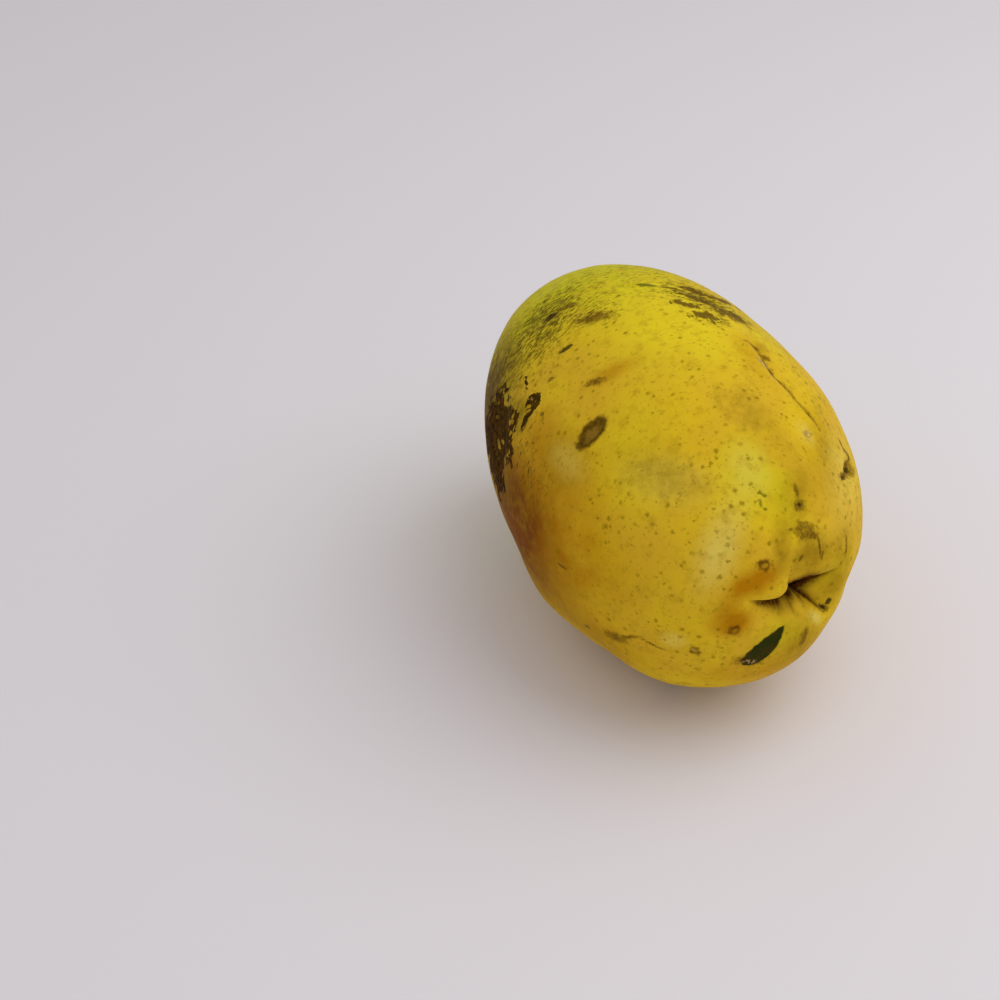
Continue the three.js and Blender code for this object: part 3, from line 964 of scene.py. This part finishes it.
    stalk = field("stalk")
    ground = paint(tree, ground, colours["green"], ramp(tree, stalk, 2.6, 1.2, 0.0, 0.7))
    ground = paint(tree, ground, colours["corkRim"],
        use(edge, Field=calculate(tree, "SUBTRACT", 1.12, stalk), Grain=1.5, Rough=0.05, Soft=0.05))
    cork = use(edge, Field=calculate(tree, "SUBTRACT", 0.96, stalk), Grain=1.5, Rough=0.05, Soft=0.06)
    grain = noise(tree, place, 1.6, 4.0, 0.7).outputs["Fac"]
    ground = paint(tree, ground, colours["cork"], times(tree, cork, ramp(tree, grain, 0.3, 0.6, 0.25, 1.0)))
    tree.links.new(ground, shader.inputs["Base Color"])

    dull = calculate(tree, "MAXIMUM", torn, calculate(tree, "MAXIMUM", cork, scar))
    dull = calculate(tree, "MAXIMUM", dull, times(tree, dashes, 0.6))
    waxy = ramp(tree, noise(tree, place, 0.5, 4.0).outputs["Fac"], 0.3, 0.7, 0.42, 0.54)
    tree.links.new(calculate(tree, "MULTIPLY_ADD", dull, 0.25, waxy), shader.inputs["Roughness"])
    shader.inputs["Specular IOR Level"].default_value = 0.012

    pores = noise(tree, place, 1.8, 2.0).outputs["Fac"]
    dimples = noise(tree, place, 0.32, 3.0).outputs["Fac"]
    height = calculate(tree, "MULTIPLY_ADD", pores, 0.03, times(tree, dimples, 0.22))
    height = calculate(tree, "MULTIPLY_ADD", dashes, 0.05, height)
    height = calculate(tree, "MULTIPLY_ADD", torn, 0.1, height)
    height = calculate(tree, "MULTIPLY_ADD", specks, -0.015, height)
    height = calculate(tree, "MULTIPLY_ADD", line, -0.3, height)
    height = calculate(tree, "MULTIPLY_ADD", crumbs, 0.15, height)
    height = calculate(tree, "MULTIPLY_ADD", scar, times(tree, grain, -0.2), height)
    bump = addNode(tree, "ShaderNodeBump", {"Height": height, "Distance": millimetre, "Strength": 0.8})
    tree.links.new(bump.outputs[0], shader.inputs["Normal"])
    return material


strewMarks()
direction = ballDirections()
made, bare = skin(direction)
quads, triangles = ballFaces()
low, high = made.min(axis=0), made.max(axis=0)
centre = np.array([(low[0] + high[0]) / 2, (low[1] + high[1]) / 2, low[2] + fruit["restDepth"]])
made -= centre
made[:, 2] = np.maximum(made[:, 2], 0)
papayaMesh = makeMesh("papaya_skin", made * millimetre, quads, triangles)
addFields(papayaMesh, bare)
papaya = bpy.data.objects.new("papaya", papayaMesh)
bpy.context.scene.collection.objects.link(papaya)
print("papaya surface:", len(papayaMesh.vertices), "vertices, box", (high - low).round(2), "mm")

papayaMesh.materials.append(skinMaterial())
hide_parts("papaya_fruit")
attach(papaya, "root")
print("papaya skin: fields and material")

# The camera stands where the photograph was taken from: its aim is a place on the floor beside
# the fruit, in the bare fruit's own frame
camera = {"aimX": -57.67, "aimY": -25.37, "azimuth": 71.77, "elevation": 35, "distance": 585.5, "lens": 70}
azimuth, elevation = np.radians(camera["azimuth"]), np.radians(camera["elevation"])
imageRight = np.array([np.cos(azimuth), np.sin(azimuth), 0])
imageAway = np.array([-np.sin(azimuth), np.cos(azimuth), 0])
back = -imageAway * np.cos(elevation) + np.array([0, 0, np.sin(elevation)])
aim = np.array([camera["aimX"] - centre[0], camera["aimY"] - centre[1], 0])
cameraData = bpy.data.cameras.new("camera")
cameraData.lens = camera["lens"]
cameraObject = bpy.data.objects.new("camera", cameraData)
cameraObject.location = Vector((aim + back * camera["distance"]) * millimetre)
cameraObject.rotation_mode = "QUATERNION"
cameraObject.rotation_quaternion = Vector(-back).to_track_quat("-Z", "Y")
bpy.context.scene.collection.objects.link(cameraObject)
bpy.context.scene.camera = cameraObject
print("camera placed")

# A pale floor just under the fruit
floorLook = {"reach": 4.0, "height": -0.0001, "colour": (0.80, 0.768, 0.795, 1), "roughness": 0.9}
floorMesh = bpy.data.meshes.new("floor")
corners = [(x * floorLook["reach"], y * floorLook["reach"], floorLook["height"]) for x,
    y in ((-1, -1), (1, -1), (1, 1), (-1, 1))]
floorMesh.from_pydata(corners, [], [(0, 1, 2, 3)])
floor = bpy.data.objects.new("floor", floorMesh)
bpy.context.scene.collection.objects.link(floor)
floorMat = bpy.data.materials.new("pale_floor")
floorMat.use_nodes = True
floorMat.node_tree.nodes["Principled BSDF"].inputs["Base Color"].default_value = floorLook["colour"]
floorMat.node_tree.nodes["Principled BSDF"].inputs["Roughness"].default_value = floorLook["roughness"]
floorMesh.materials.append(floorMat)

# Soft studio light: one large panel high on the right, and an even surround. Places are
# millimetres from the aim, to the right and away in the picture, and up.
keyLight = {"right": 600, "away": -120, "up": 740, "size": 950, "power": 3.75, "aimRight": 500,
    "aimAway": -230}
surround = {"colour": (1.0, 0.98, 0.99, 1), "strength": 0.58}
lampData = bpy.data.lights.new("key", "AREA")
lampData.energy = keyLight["power"]
lampData.size = keyLight["size"] * millimetre
lamp = bpy.data.objects.new("key", lampData)
lampPlace = imageRight * keyLight["right"] + imageAway * keyLight["away"] + np.array([0, 0, keyLight["up"]])
lampAim = imageRight * keyLight["aimRight"] + imageAway * keyLight["aimAway"]
lamp.location = Vector((aim + lampPlace) * millimetre)
lamp.rotation_mode = "QUATERNION"
lamp.rotation_quaternion = Vector(lampAim - lampPlace).to_track_quat("-Z", "Y")
bpy.context.scene.collection.objects.link(lamp)
world = bpy.data.worlds.new("studio")
world.use_nodes = True
world.node_tree.nodes["Background"].inputs["Color"].default_value = surround["colour"]
world.node_tree.nodes["Background"].inputs["Strength"].default_value = surround["strength"]
bpy.context.scene.world = world
bpy.context.scene.view_settings.view_transform = "Standard"
print("floor and light placed")
